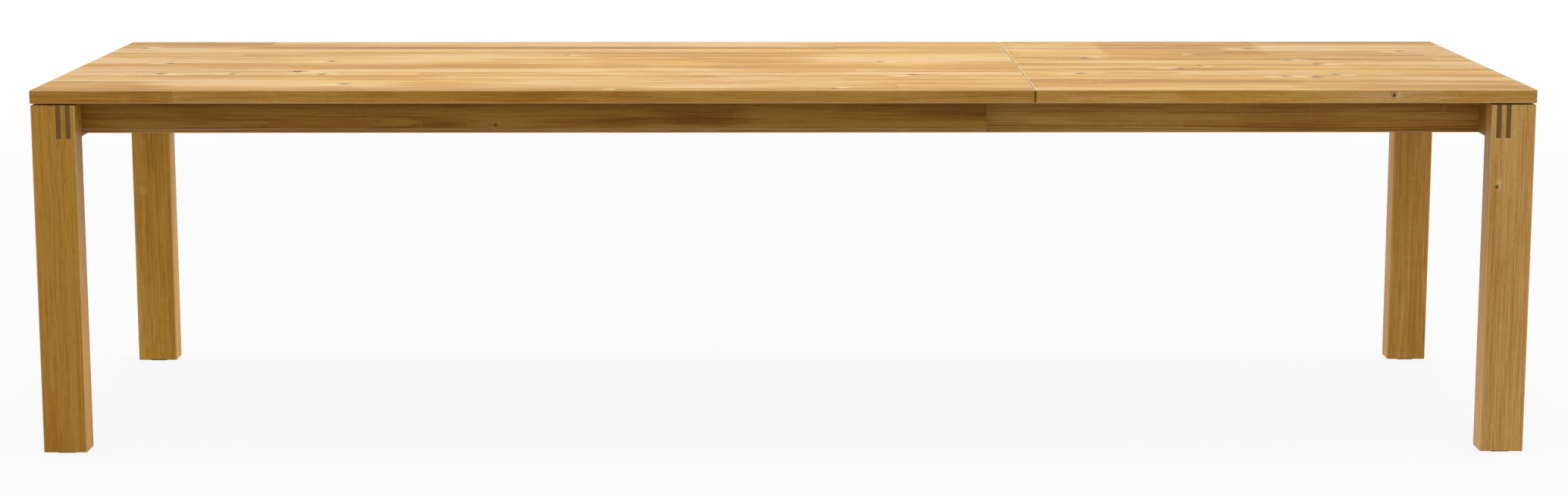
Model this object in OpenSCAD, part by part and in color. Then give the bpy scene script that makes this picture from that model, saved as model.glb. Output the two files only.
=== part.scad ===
// Extendable dining table in solid oak. One end of the frame pulls out on ball guides
// and carries a lift-off leaf. Drawn pulled out to its full length, in millimetres.
// X runs along the table towards the end that pulls out, Y runs to the back, Z is up.
// The origin is on the floor, under the middle of the extended table.

/* [Tops] */
// Length of the fixed main top
main_l = 2000; // [1800:50:2400]
// Length of the leaf, which is also the travel of the moving frame
leaf_l = 1000; // [700:50:1100]
// Width of the main top and the leaf
table_w = 1000; // [850:10:1200]
// Height of the table surface above the floor
table_h = 740; // [720:5:780]
// Thickness of the main top and the leaf
top_t = 27; // [24:1:40]
// Radius of the eased edges of the tops
top_arris = 2; // [1:0.5:4]
// Joint between the main top and the leaf
seam_gap = 1; // [0.3:0.1:1.5]

/* [Legs] */
// Leg size along the table
leg_x = 88; // [80:1:110]
// Leg size across the table
leg_y = 58; // [50:1:80]
// Radius of the eased edges of the legs
leg_arris = 2; // [1:0.5:5]
// Setback of the legs from the edges of the tops
leg_inset = 1; // [0:0.5:10]
// Diameter of a foot glide
glide_d = 38; // [25:1:45]
// Thickness of a foot glide
glide_t = 3; // [2:0.5:6]
// Radius of the eased rim of a foot glide
glide_ease = 1; // [0.5:0.5:1.5]
// Diameter of the pin that holds a glide in its leg
glide_pin_d = 5; // [4:0.5:8]
// Length of that pin
glide_pin_l = 18; // [12:1:30]

/* [Frame] */
// Shadow gap between the tops and the legs and rails below them
shadow_gap = 3; // [2.5:0.5:6]
// Height of the end rails and the sliding rails
rail_h = 70; // [64:1:90]
// Thickness of the end rails
end_rail_t = 48; // [40:1:60]
// Thickness of the sliding rails of the moving frame
slide_rail_t = 28; // [24:1:36]
// Height of the fixed aprons
apron_h = 60.5; // [56:0.5:66]
// Thickness of the fixed aprons
apron_t = 28; // [24:1:36]
// Setback of the aprons behind the back of the legs
apron_setback = 6; // [3:1:20]
// Height of the bearers that hold the guide tracks
bearer_h = 70; // [64:1:90]
// Thickness of the bearers
bearer_t = 19; // [18:1:26]
// Clear space between a bearer and the sliding rail beside it
slide_gap = 6; // [5.5:0.5:9]
// Radius of the eased edges of aprons and rails
rail_arris = 2; // [1:0.5:4]
// Clear space left at the end of an apron when the frame is pushed in
close_gap = 3; // [2:0.5:8]
// Height of the shoulder under the twin tenons
tenon_shoulder = 3; // [2:0.5:10]

/* [Cross rails] */
// Thickness of the cross rail at the inner end of the sliding rails
cross_t = 28; // [22:1:40]
// Height of that cross rail
cross_h = 46; // [36:1:54]
// Width of the flat cross rail under the joint of the tops
seam_rail_w = 90; // [70:5:120]
// Thickness of the flat cross rail
seam_rail_t = 24; // [20:1:30]
// Length of the stub tenons on the cross rails
stub_l = 10; // [8:1:12]
// Shoulder all round a stub tenon
stub_shoulder = 6; // [4:0.5:7]

/* [Ball guides] */
// Height of the track profile
track_h = 44; // [42:1:48]
// Thickness of the track's web
track_web = 2.5; // [2.2:0.1:3]
// Thickness of the track's flanges
track_flange = 3; // [2.6:0.1:3.4]
// Depth of the groove in the bearer that holds the track
track_groove = 4.5; // [4:0.5:6]
// Thickness of the runner profile
runner_t = 2.6; // [2.4:0.1:3]
// Depth of the groove in the sliding rail that holds the runner
runner_groove = 4; // [3.5:0.5:6]
// Diameter of a ball
ball_d = 4.5; // [4:0.1:4.6]
// Spacing of the balls along the cage
ball_pitch = 24; // [12:1:40]
// Depth of a ball race
race_depth = 1; // [0.8:0.1:1.2]
// Thickness of the cage strip
cage_t = 0.8; // [0.6:0.1:0.9]
// Length of the rubber bumper at each end of a track
bumper_l = 5; // [4:0.5:10]

/* [Battens] */
// Width of a steel batten let into the underside of a top
batten_w = 30; // [24:1:40]
// Depth of the batten channel
batten_h = 12; // [8:1:14]
// Wall of the batten channel
batten_wall = 2.5; // [2:0.5:3]
// Gap between the end of a batten and the sliding rail beside it
batten_inset = 15; // [8:1:40]

/* [Leaf catches] */
// Distance of each catch from the inner face of the sliding rail beside it
catch_inset = 64; // [45:1:100]
// Distance from a hook's pivot to the pin that it holds
catch_reach = 45; // [40:1:55]
// Thickness of a hook
hook_t = 3; // [2.5:0.5:3.5]
// Width of the hook outside its slot
hook_rim = 5.5; // [4:0.5:7]
// Diameter of the pin and of the hook's pivot
pin_d = 6; // [5:0.5:7]

/* [Fasteners] */
// Diameter of the frame bolts
bolt_d = 8; // [6:1:8]
// Length of the frame bolts
bolt_l = 100; // [90:5:110]
// Height of the frame bolts above the underside of the rails
bolt_rise = 28; // [24:1:32]
// Diameter of the barrel nuts
nut_d = 12; // [11:0.5:14]
// Diameter of the dowels
dowel_d = 10; // [8:1:12]
// Length of the dowels
dowel_l = 60; // [50:5:70]
// Height of the dowels above the underside of the rails
dowel_rise = 55; // [50:1:58]
// Largest spacing of the screws that hold the main top
screw_pitch = 270; // [150:10:400]
// Shank diameter of the wood screws
screw_d = 4; // [3.5:0.5:4.5]
// Length of the screws that hold the tracks
track_screw_l = 12; // [8:1:13]
// Length of the screws that hold the runners
runner_screw_l = 14; // [10:1:15]

/* [Hidden] */
$fn = 48;

// Clearances
glue_gap = 0.1;      // round a dowel, tenon or screw in its hole
fit_gap = 0.05;      // running fit of a hook on its pivot
touch_gap = 0.3;     // between pieces that meet but move
run_gap = 0.4;       // between sliding profiles
cut = 1;             // overshoot of a cut past a face

// Main planes
half_l = (main_l + leaf_l) / 2;
half_w = table_w / 2;
seam_x = main_l - half_l;
top_z = table_h - top_t;
frame_z = top_z - shadow_gap;
rail_z = frame_z - rail_h;
leg_out = half_l - leg_inset;
leg_in = leg_out - leg_x;
leg_front = half_w - leg_inset;
leg_back = leg_front - leg_y;

// Distances of the long members from the middle, outer face first
apron_out = leg_back - apron_setback;
bearer_out = apron_out - apron_t;
bearer_in = bearer_out - bearer_t;
rail_out = bearer_in - slide_gap;
rail_in = rail_out - slide_rail_t;
apron_z = top_z - apron_h;
bearer_z = top_z - bearer_h;

// Lengths along the table, with the frame pulled out
push_gap = 2;
apron_x0 = -leg_in;
apron_x1 = leg_in - leaf_l - close_gap;
rail_x0 = leaf_l - leg_in + push_gap;

// Twin tenons: the end rail's thickness in five equal parts
tenon_w = end_rail_t / 5;
tenon_z = rail_z + tenon_shoulder;

// Guide section: u is the distance from the floor of the bearer's groove
guide_z = rail_z + rail_h / 2;
guide_y = bearer_in + track_groove;
rail_face_u = track_groove + slide_gap;
flange_u = rail_face_u - run_gap;
guide_u = rail_face_u + runner_groove;
runner_u = track_web + cage_t + 2 * run_gap;
ball_u = (runner_u + flange_u) / 2;
race_r = ball_d / 2 + touch_gap;
ball_v = track_h / 2 - track_flange + race_depth - race_r;
runner_h = 2 * (ball_v - race_r + race_depth);

// Guide lengths: the runner meets a bumper at both ends of its travel
track_inset = 1;
track_x0 = apron_x0 + track_inset;
track_x1 = apron_x1 - track_inset;
runner_x0 = track_x0 + bumper_l + touch_gap + leaf_l;
runner_x1 = track_x1 - bumper_l - touch_gap;
cage_inset = 2;
cage_x0 = runner_x0 + cage_inset;
cage_l = runner_x1 - runner_x0 - leaf_l / 2 - 2 * cage_inset;
ball_n = floor((cage_l - 2 * ball_d) / ball_pitch) + 1;

// Cross rails
cross_inset = 12;
cross_x0 = rail_x0 + cross_inset;
seam_rail_x0 = seam_x - seam_rail_w / 2;
seam_rail_z = frame_z - seam_rail_t;

// Pads under the leaf and packing over the fixed legs
pad_w = 20;
pad_l = 60;
pad_t = shadow_gap - touch_gap;
pad_n = 4;
end_pad_n = 3;
end_pad_y = leg_back - 100;      // places of the outer pads on the end rails
disc_d = 16;                     // round pads on top of the legs
disc_x = 30;
disc_y = 20;

// Battens run across the grain, between the bearers
batten_l = 2 * (rail_in - batten_inset);
batten_end_r = batten_w / 2;
main_batten_n = 3;
leaf_batten_n = 2;
batten_screw_y = batten_l / 2 - 40;
batten_screw_bite = 10;

// Leaf catches: the pivots sit behind the joint of the tops, the pins in front of it
catch_x = seam_x - 28;
catch_y = rail_in - catch_inset;
pivot_head_h = 2.1;
hook_z = top_z + pivot_head_h + 2 * fit_gap;
pocket_h = hook_z - top_z + hook_t + touch_gap;
hook_r = catch_reach + pin_d / 2 + hook_rim;
pocket_r = hook_r + 1;
slot_half = pin_d / 2 + touch_gap;
pin_bite = 14;
pin_l = pocket_h + pin_bite - (hook_z - top_z);

// Fasteners
screw_head_d = 2 * screw_d;
screw_head_h = screw_d / 2;
bore_d = 10;
bore_deep = 34;
pan_d = bore_d - 1;
pan_h = 3;
top_screw_bite = 15;
top_screw_z = bearer_z + bore_deep;
top_screw_y = (bearer_out + guide_y) / 2;
top_screw_inset = 25;
top_screw_n = ceil((apron_x1 - apron_x0 - 2 * top_screw_inset) / screw_pitch) + 1;
track_screw_inset = 40;
track_screw_n = 6;
runner_screw_inset = 30;
runner_screw_n = 4;
bolt_head_d = 1.6 * bolt_d;
bolt_seat = 9;                   // depth of the counterbore under a bolt's head
bolt_z = rail_z + bolt_rise;
dowel_z = rail_z + dowel_rise;
nut_back = 52;                   // from the end of a long member to the middle of its nut
nut_l = 20;

// Evenly spaced positions, ends included
function spread(a, b, n) = [for (i = [0 : n - 1]) a + (b - a) * i / max(1, n - 1)];

// Middles of n equal parts of a length
function middles(a, b, n) = [for (i = [0 : n - 1]) a + (b - a) * (i + 0.5) / n];

main_batten_x = middles(-half_l, seam_x, main_batten_n);
leaf_batten_x = middles(seam_x, half_l, leaf_batten_n);
top_screw_x = spread(apron_x0 + top_screw_inset, apron_x1 - top_screw_inset, top_screw_n);
track_screw_x = spread(track_x0 + track_screw_inset, track_x1 - track_screw_inset, track_screw_n);
runner_screw_x = spread(runner_x0 + runner_screw_inset, runner_x1 - runner_screw_inset,
                        runner_screw_n);
ball_x0 = cage_x0 + (cage_l - (ball_n - 1) * ball_pitch) / 2;

// Draws a front piece at the front (side -1) or mirrored at the back (side 1)
module at_side(side) {
    mirror([0, side > 0 ? 1 : 0, 0]) children();
}

// Draws a left-end piece at the left (end -1) or mirrored at the right (end 1)
module at_end(end) {
    mirror([end > 0 ? 1 : 0, 0, 0]) children();
}

module oak() {
    color([0.78, 0.62, 0.40]) children();
}

module dark_oak() {
    color([0.55, 0.38, 0.20]) children();
}

module aluminium() {
    color([0.78, 0.79, 0.80]) children();
}

module steel() {
    color([0.60, 0.62, 0.64]) children();
}

module rubber() {
    color([0.12, 0.12, 0.12]) children();
}

// Rectangle with its corner at the origin and rounded corners
module eased_rect(a, b, r) {
    translate([r, 0]) square([a - 2 * r, b]);
    translate([0, r]) square([a, b - 2 * r]);
    for (u = [r, a - r], v = [r, b - r]) translate([u, v]) circle(r);
}

// Block with its corner at the origin and every edge eased
module eased_box(size, r) {
    intersection() {
        linear_extrude(size.z) eased_rect(size.x, size.y, r);
        translate([0, size.y, 0]) rotate([90, 0, 0])
            linear_extrude(size.y) eased_rect(size.x, size.z, r);
        rotate([90, 0, 90]) linear_extrude(size.x) eased_rect(size.y, size.z, r);
    }
}

// Bar along X with its corner at the origin and its four long edges eased
module eased_bar(l, t, h, r) {
    rotate([90, 0, 90]) linear_extrude(l) eased_rect(t, h, r);
}

// Six-sided key recess going up from the origin
module key_recess(d, deep) {
    translate([0, 0, -cut]) cylinder(h = cut + deep, d = d, $fn = 6);
}

// Countersunk screw pointing up, its head's flat face on the origin
module countersunk_screw(l) {
    difference() {
        union() {
            cylinder(h = screw_head_h, d1 = screw_head_d, d2 = screw_d);
            cylinder(h = l, d = screw_d);
        }
        key_recess(0.8 * screw_d, 0.7 * screw_head_h);
    }
}

// Pilot hole for the screw above; it runs out past the head's face
module screw_hole(l) {
    countersink_d = screw_head_d + 2 * glue_gap;
    translate([0, 0, -cut]) cylinder(h = cut, d = countersink_d);
    cylinder(h = screw_head_h, d1 = countersink_d, d2 = screw_d + 2 * glue_gap);
    cylinder(h = l + glue_gap, d = screw_d + 2 * glue_gap);
}

// ---- Tops ----

// Groove of one batten in the underside of a top, at the origin
module batten_groove() {
    grow = batten_w + 2 * glue_gap;
    straight = batten_l - 2 * batten_end_r;
    translate([-grow / 2, -straight / 2, -cut])
        cube([grow, straight, cut + batten_h + glue_gap]);
    for (y = [-straight / 2, straight / 2]) translate([0, y, -cut])
        cylinder(h = cut + batten_h + glue_gap, d = grow);
    for (y = [-batten_screw_y, 0, batten_screw_y]) translate([0, y, 0])
        cylinder(h = batten_h + batten_screw_bite + cut, d = screw_d + 2 * glue_gap);
}

// Flush steel channel with its web on the underside of the top, at the origin
module batten() {
    straight = batten_l - 2 * batten_end_r;
    inner = batten_w - 2 * batten_wall;
    difference() {
        union() {
            translate([-batten_w / 2, -straight / 2, 0]) cube([batten_w, straight, batten_h]);
            for (y = [-straight / 2, straight / 2]) translate([0, y, 0])
                cylinder(h = batten_h, d = batten_w);
        }
        translate([-inner / 2, -straight / 2, batten_wall]) cube([inner, straight, batten_h]);
        for (y = [-straight / 2, straight / 2]) translate([0, y, batten_wall])
            cylinder(h = batten_h, d = inner);
        translate([0, 0, 0]) screw_hole(batten_h);
        for (y = [-batten_screw_y, batten_screw_y])
            for (dx = [-0.5, 0.5]) translate([dx, y, 0]) screw_hole(batten_h);
    }
}

module battens(xs) {
    for (x = xs) translate([x, 0, top_z]) batten();
}

module batten_screws(xs) {
    for (x = xs, y = [-batten_screw_y, 0, batten_screw_y])
        translate([x, y, top_z]) countersunk_screw(batten_h + batten_screw_bite);
}

// Round recess for a catch, and the hole of its pivot or pin
module catch_recess(hole_x) {
    for (side = [-1, 1]) at_side(side) {
        translate([catch_x, -catch_y, top_z - cut]) cylinder(h = cut + pocket_h, r = pocket_r);
        translate([hole_x, -catch_y, top_z])
            cylinder(h = pocket_h + pin_bite + glue_gap, d = pin_d + 2 * glue_gap);
    }
}

module main_top() {
    oak() difference() {
        translate([-half_l, -half_w, top_z])
            eased_box([main_l - seam_gap / 2, table_w, top_t], top_arris);
        for (x = main_batten_x) translate([x, 0, top_z]) batten_groove();
        for (side = [-1, 1], x = top_screw_x) at_side(side)
            translate([x, -top_screw_y, top_z - cut])
                cylinder(h = cut + top_screw_bite + glue_gap, d = screw_d + 2 * glue_gap);
        catch_recess(catch_x);
    }
}

module leaf() {
    oak() difference() {
        translate([seam_x + seam_gap / 2, -half_w, top_z])
            eased_box([leaf_l - seam_gap / 2, table_w, top_t], top_arris);
        for (x = leaf_batten_x) translate([x, 0, top_z]) batten_groove();
        catch_recess(catch_x + catch_reach);
    }
}

module main_top_battens() { steel() battens(main_batten_x); }
module leaf_battens() { steel() battens(leaf_batten_x); }
module main_batten_screws() { steel() batten_screws(main_batten_x); }
module leaf_batten_screws() { steel() batten_screws(leaf_batten_x); }

// ---- End frames: two legs and an end rail joined by twin bridle joints ----

// Twin tenons at the front end of the left end rail; with a clearance and an overshoot they
// are the slots in the leg
module twin_tenons(clear = 0, over = 0) {
    for (i = [1, 3])
        translate([-leg_in - end_rail_t + i * tenon_w - clear, -leg_front - over, tenon_z - clear])
            cube([tenon_w + 2 * clear, leg_y + 2 * over, frame_z - tenon_z + clear + over]);
}

module leg(end, side) {
    oak() at_end(end) at_side(side) difference() {
        translate([-leg_out, -leg_front, glide_t])
            eased_box([leg_x, leg_y, frame_z - glide_t], leg_arris);
        twin_tenons(glue_gap, cut);
        translate([-leg_out + leg_x / 2, -leg_front + leg_y / 2, glide_t - cut])
            cylinder(h = cut + glide_pin_l + glue_gap, d = glide_pin_d + 2 * glue_gap);
    }
}

module end_rail(end) {
    dark_oak() at_end(end) difference() {
        union() {
            translate([-leg_in - end_rail_t, -leg_back, rail_z]) rotate([90, 0, 180])
                translate([-end_rail_t, 0, 0]) linear_extrude(2 * leg_back)
                    eased_rect(end_rail_t, rail_h, rail_arris);
            for (side = [-1, 1]) at_side(side) twin_tenons();
        }
        for (side = [-1, 1]) at_side(side) end_holes(end);
    }
}

// Middle of the long member that an end rail carries: the apron or the sliding rail
function member_y(end) = end < 0 ? apron_out - apron_t / 2 : (rail_out + rail_in) / 2;

// Bolt and dowel holes in an end rail, for its front long member, drawn at the left end
module end_holes(end) {
    translate([-leg_in - end_rail_t - cut, -member_y(end), bolt_z]) rotate([0, 90, 0]) {
        cylinder(h = cut + bolt_seat, d = bolt_head_d + 1);
        cylinder(h = end_rail_t + 2 * cut, d = bolt_d + 2 * glue_gap);
    }
    translate([-leg_in - dowel_l / 2 - glue_gap, -member_y(end), dowel_z]) rotate([0, 90, 0])
        cylinder(h = dowel_l, d = dowel_d + 2 * glue_gap);
}

// Bolt, nut and dowel holes in the end of a long member, drawn at the left end
module member_holes(end, low_z) {
    translate([-leg_in - cut, -member_y(end), bolt_z]) rotate([0, 90, 0])
        cylinder(h = cut + bolt_l + bolt_seat - end_rail_t + 2, d = bolt_d + 2 * glue_gap);
    translate([-leg_in + nut_back, -member_y(end), low_z - cut])
        cylinder(h = cut + bolt_z + nut_l / 2 + glue_gap - low_z, d = nut_d + 2 * glue_gap);
    translate([-leg_in - cut, -member_y(end), dowel_z]) rotate([0, 90, 0])
        cylinder(h = cut + dowel_l / 2 + glue_gap, d = dowel_d + 2 * glue_gap);
}

module frame_bolts(end) {
    steel() at_end(end) for (side = [-1, 1]) at_side(side)
        translate([-leg_in - end_rail_t + bolt_seat, -member_y(end), bolt_z])
            rotate([0, 90, 0]) difference() {
                union() {
                    translate([0, 0, -bolt_d]) cylinder(h = bolt_d, d = bolt_head_d);
                    cylinder(h = bolt_l, d = bolt_d);
                }
                translate([0, 0, -bolt_d]) key_recess(0.9 * bolt_d, bolt_d / 2);
            }
}

module barrel_nuts(end) {
    steel() at_end(end) for (side = [-1, 1]) at_side(side) difference() {
        translate([-leg_in + nut_back, -member_y(end), bolt_z - nut_l / 2])
            cylinder(h = nut_l, d = nut_d);
        translate([-leg_in + nut_back - nut_d, -member_y(end), bolt_z]) rotate([0, 90, 0])
            cylinder(h = 2 * nut_d, d = bolt_d + 2 * glue_gap);
    }
}

module dowels(end) {
    oak() at_end(end) for (side = [-1, 1]) at_side(side)
        translate([-leg_in - dowel_l / 2, -member_y(end), dowel_z]) rotate([0, 90, 0])
            cylinder(h = dowel_l, d = dowel_d);
}

// Round glides with an eased rim, each on a pin that goes up into its leg
module foot_glides(end) {
    rubber() at_end(end) for (side = [-1, 1]) at_side(side)
        translate([-leg_out + leg_x / 2, -leg_front + leg_y / 2, 0]) {
            rotate_extrude() {
                square([glide_d / 2 - glide_ease, glide_t]);
                translate([0, glide_ease]) square([glide_d / 2, glide_t - glide_ease]);
                translate([glide_d / 2 - glide_ease, glide_ease]) circle(glide_ease);
            }
            cylinder(h = glide_t + glide_pin_l, d = glide_pin_d);
        }
}

module leg_left_front() { leg(-1, -1); }
module leg_left_back() { leg(-1, 1); }
module leg_right_front() { leg(1, -1); }
module leg_right_back() { leg(1, 1); }
module end_rail_left() { end_rail(-1); }
module end_rail_right() { end_rail(1); }
module frame_bolts_left() { frame_bolts(-1); }
module frame_bolts_right() { frame_bolts(1); }
module barrel_nuts_left() { barrel_nuts(-1); }
module barrel_nuts_right() { barrel_nuts(1); }
module dowels_left() { dowels(-1); }
module dowels_right() { dowels(1); }
module foot_glides_left() { foot_glides(-1); }
module foot_glides_right() { foot_glides(1); }

// ---- Fixed aprons and bearers ----

module apron(side) {
    dark_oak() at_side(side) difference() {
        translate([apron_x0, -apron_out, apron_z])
            eased_bar(apron_x1 - apron_x0, apron_t, apron_h, rail_arris);
        member_holes(-1, apron_z);
    }
}

module bearer(side) {
    dark_oak() at_side(side) difference() {
        translate([apron_x0, -bearer_out, bearer_z])
            eased_bar(apron_x1 - apron_x0, bearer_t, bearer_h, rail_arris);
        translate([apron_x0 - cut, -guide_y, guide_z - track_h / 2 - glue_gap])
            cube([apron_x1 - apron_x0 + 2 * cut, track_groove + cut, track_h + 2 * glue_gap]);
        for (x = top_screw_x) translate([x, -top_screw_y, bearer_z]) {
            translate([0, 0, -cut]) cylinder(h = cut + bore_deep, d = bore_d);
            cylinder(h = bearer_h + cut, d = screw_d + 2 * glue_gap);
        }
        for (x = track_screw_x) translate([x, -guide_y + track_web, guide_z])
            rotate([90, 0, 0]) screw_hole(track_screw_l);
    }
}

// Pan-head screws that hold the bearers up to the main top
module top_screws() {
    steel() for (side = [-1, 1], x = top_screw_x) at_side(side)
        translate([x, -top_screw_y, top_screw_z]) difference() {
            union() {
                translate([0, 0, -pan_h]) cylinder(h = pan_h, d = pan_d);
                cylinder(h = top_z - top_screw_z + top_screw_bite, d = screw_d);
            }
            translate([0, 0, -pan_h]) key_recess(screw_d, 2 * pan_h / 3);
        }
}

// Packing that fills the shadow gap over the fixed legs and end rail
module packing_pads() {
    rubber() {
        for (side = [-1, 1]) at_side(side)
            translate([-leg_in - disc_x, -leg_back - disc_y, frame_z])
                cylinder(h = shadow_gap, d = disc_d);
        for (y = spread(-end_pad_y, end_pad_y, end_pad_n))
            translate([-leg_in - end_rail_t / 2 - pad_w / 2, y - pad_l / 2, frame_z])
                cube([pad_w, pad_l, shadow_gap]);
    }
}

module apron_front() { apron(-1); }
module apron_back() { apron(1); }
module bearer_front() { bearer(-1); }
module bearer_back() { bearer(1); }

// ---- Moving frame ----

module sliding_rail(side) {
    dark_oak() at_side(side) difference() {
        translate([rail_x0, -rail_out, rail_z])
            eased_bar(leg_in - rail_x0, slide_rail_t, rail_h, rail_arris);
        translate([rail_x0 - cut, -rail_out - cut, guide_z - runner_h / 2 - glue_gap])
            cube([runner_x1 - rail_x0 + cut + glue_gap, runner_groove + cut,
                  runner_h + 2 * glue_gap]);
        for (x = runner_screw_x) translate([x, -guide_y + guide_u - runner_t, guide_z])
            rotate([-90, 0, 0]) screw_hole(runner_screw_l);
        at_end(1) member_holes(1, rail_z);
        stub_tenon(cross_x0, rail_z, cross_t, cross_h, glue_gap);
        stub_tenon(seam_rail_x0, seam_rail_z, seam_rail_w, seam_rail_t, glue_gap);
    }
}

// Stub tenon at the front end of a cross bar w wide and h high; with a clearance it is the
// mortise in the sliding rail
module stub_tenon(x, z, w, h, clear = 0) {
    translate([x + stub_shoulder - clear, -rail_in - stub_l - clear, z + stub_shoulder - clear])
        cube([w - 2 * (stub_shoulder - clear), stub_l + clear + cut,
              h - 2 * (stub_shoulder - clear)]);
}

// Bar between the sliding rails, with eased edges and a stub tenon at each end
module cross_bar(x, z, w, h) {
    translate([x + w, -rail_in, z]) rotate([0, 0, 90]) eased_bar(2 * rail_in, w, h, rail_arris);
    for (side = [-1, 1]) at_side(side) stub_tenon(x, z, w, h);
}

module cross_rail() { dark_oak() cross_bar(cross_x0, rail_z, cross_t, cross_h); }
module seam_rail() { dark_oak() cross_bar(seam_rail_x0, seam_rail_z, seam_rail_w, seam_rail_t); }

// Low-friction pads that carry the leaf and slide under the main top
module leaf_pads() {
    rubber() {
        for (side = [-1, 1]) at_side(side) {
            for (x = middles(seam_x + seam_rail_w / 2, leg_in, pad_n))
                translate([x - pad_l / 2, -(rail_out + rail_in) / 2 - pad_w / 2, frame_z])
                    cube([pad_l, pad_w, pad_t]);
            translate([rail_x0 + cross_inset, -(rail_out + rail_in) / 2 - pad_w / 2, frame_z])
                cube([pad_l, pad_w, pad_t]);
            translate([leg_in + disc_x, -leg_back - disc_y, frame_z])
                cylinder(h = pad_t, d = disc_d);
        }
        for (y = spread(-end_pad_y, end_pad_y, end_pad_n)) {
            translate([leg_in + end_rail_t / 2 - pad_w / 2, y - pad_l / 2, frame_z])
                cube([pad_w, pad_l, pad_t]);
            translate([seam_x + pad_w / 2, y - pad_l / 2, frame_z]) cube([pad_w, pad_l, pad_t]);
        }
    }
}

module sliding_rail_front() { sliding_rail(-1); }
module sliding_rail_back() { sliding_rail(1); }

// ---- Ball guides ----

// Places a guide section (u away from the bearer, v up) and runs it along X
module guide_run(x0, x1) {
    translate([x0, -guide_y, guide_z]) rotate([90, 0, 90]) linear_extrude(x1 - x0) children();
}

module races() {
    for (v = [-ball_v, ball_v]) translate([ball_u, v]) circle(race_r);
}

module guide_track(side) {
    aluminium() at_side(side) difference() {
        guide_run(track_x0, track_x1) difference() {
            translate([0, -track_h / 2]) square([flange_u, track_h]);
            translate([track_web, -track_h / 2 + track_flange])
                square([flange_u, track_h - 2 * track_flange]);
            races();
        }
        for (x = track_screw_x) translate([x, -guide_y + track_web, guide_z])
            rotate([90, 0, 0]) screw_hole(track_screw_l);
    }
}

module guide_runner(side) {
    aluminium() at_side(side) difference() {
        guide_run(runner_x0, runner_x1) difference() {
            translate([runner_u, -runner_h / 2]) square([guide_u - runner_u, runner_h]);
            translate([runner_u - cut, -runner_h / 2 + runner_t])
                square([guide_u - runner_u - runner_t + cut, runner_h - 2 * runner_t]);
            races();
        }
        for (x = runner_screw_x) translate([x, -guide_y + guide_u - runner_t, guide_z])
            rotate([-90, 0, 0]) screw_hole(runner_screw_l);
    }
}

// Bent strip that keeps the balls apart and travels at half the runner's speed
module ball_cage(side) {
    strip_u0 = track_web + run_gap;
    steel() at_side(side) difference() {
        guide_run(cage_x0, cage_x0 + cage_l) difference() {
            translate([strip_u0, -ball_v - cage_t / 2])
                square([flange_u - strip_u0, 2 * ball_v + cage_t]);
            translate([strip_u0 + cage_t, -ball_v + cage_t / 2])
                square([flange_u, 2 * ball_v - cage_t]);
        }
        for (i = [0 : ball_n - 1], v = [-ball_v, ball_v])
            translate([ball_x0 + i * ball_pitch, -guide_y + ball_u, guide_z + v - cage_t])
                cylinder(h = 2 * cage_t, r = race_r);
    }
}

module guide_balls(side) {
    steel() at_side(side) for (i = [0 : ball_n - 1], v = [-ball_v, ball_v])
        translate([ball_x0 + i * ball_pitch, -guide_y + ball_u, guide_z + v])
            sphere(d = ball_d);
}

module track_bumpers() {
    rubber() for (side = [-1, 1], x = [track_x0, track_x1 - bumper_l]) at_side(side)
        translate([x, -guide_y + track_web, guide_z - runner_h / 2])
            cube([bumper_l, flange_u - track_web, runner_h]);
}

module track_screws() {
    steel() for (side = [-1, 1], x = track_screw_x) at_side(side)
        translate([x, -guide_y + track_web, guide_z]) rotate([90, 0, 0])
            countersunk_screw(track_screw_l);
}

module runner_screws() {
    steel() for (side = [-1, 1], x = runner_screw_x) at_side(side)
        translate([x, -guide_y + guide_u - runner_t, guide_z]) rotate([-90, 0, 0])
            countersunk_screw(runner_screw_l);
}

module guide_track_front() { guide_track(-1); }
module guide_track_back() { guide_track(1); }
module guide_runner_front() { guide_runner(-1); }
module guide_runner_back() { guide_runner(1); }
module ball_cage_front() { ball_cage(-1); }
module ball_cage_back() { ball_cage(1); }
module guide_balls_front() { guide_balls(-1); }
module guide_balls_back() { guide_balls(1); }

// ---- Leaf catches: a hook in the main top swings round a pin in the leaf ----

// Part of the plane between two angles, under half a turn apart
module sector(a0, a1) {
    reach = 4 * hook_r;
    polygon([[0, 0], reach * [cos(a0), sin(a0)], reach * [cos((a0 + a1) / 2), sin((a0 + a1) / 2)],
             reach * [cos(a1), sin(a1)]]);
}

// Sector plate with a boss on its pivot and a slot that closes round the pin
module catch_hook(side) {
    plate = [-24, 14];               // angles of the plate's edges
    slot = [-8, 40];                 // angles of the slot, which runs out of the plate
    steel() at_side(side) translate([catch_x, -catch_y, hook_z]) linear_extrude(hook_t)
        difference() {
            union() {
                circle(d = 3 * pin_d);
                intersection() {
                    circle(hook_r);
                    sector(plate[0], plate[1]);
                }
            }
            intersection() {
                difference() {
                    circle(catch_reach + slot_half);
                    circle(catch_reach - slot_half);
                }
                sector(slot[0], slot[1]);
            }
            circle(d = pin_d + 2 * fit_gap);
        }
}

// Shoulder screws that the hooks turn on
module catch_pivots() {
    steel() for (side = [-1, 1]) at_side(side) translate([catch_x, -catch_y, top_z + fit_gap])
        difference() {
            union() {
                cylinder(h = pivot_head_h, d = 2 * pin_d);
                cylinder(h = pivot_head_h + pin_l, d = pin_d);
            }
            key_recess(0.7 * pin_d, 0.7 * pivot_head_h);
        }
}

module catch_pins() {
    steel() for (side = [-1, 1]) at_side(side)
        translate([catch_x + catch_reach, -catch_y, hook_z]) cylinder(h = pin_l, d = pin_d);
}

module catch_hook_front() { catch_hook(-1); }
module catch_hook_back() { catch_hook(1); }

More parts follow.
